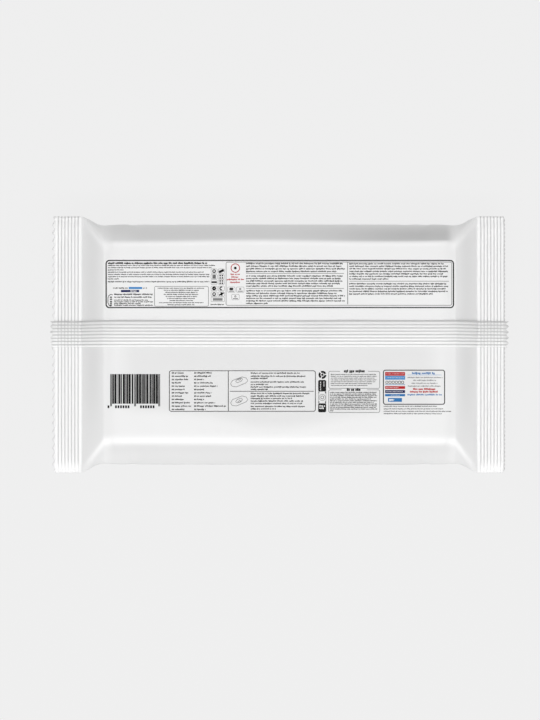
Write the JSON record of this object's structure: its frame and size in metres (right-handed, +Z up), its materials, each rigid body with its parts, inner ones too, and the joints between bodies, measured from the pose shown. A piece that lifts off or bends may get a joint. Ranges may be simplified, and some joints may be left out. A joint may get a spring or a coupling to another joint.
{
  "type": "wet wipes pack",
  "caption": "Sealed flow pack of wet wipes with ribbed end seals, a folded-down back fin seal and a resealable label on the front, lying on its front.",
  "frame": {"origin": "on the surface that the pack lies on, under the middle of its box", "axes": "+X along the pack from end seal to end seal, +Y across it towards the free edge of the back fin, +Z up, out of the back panel"},
  "size_m": [0.2522, 0.141, 0.041],
  "materials": {
    "film": "satin white printed laminate film",
    "label": "glossy white self-adhesive film label",
    "ink": "flat printing ink under the film's gloss"
  },
  "bodies": {
    "root": {"film_pack": "film", "reseal_label": "label"}
  },
  "joints": []
}
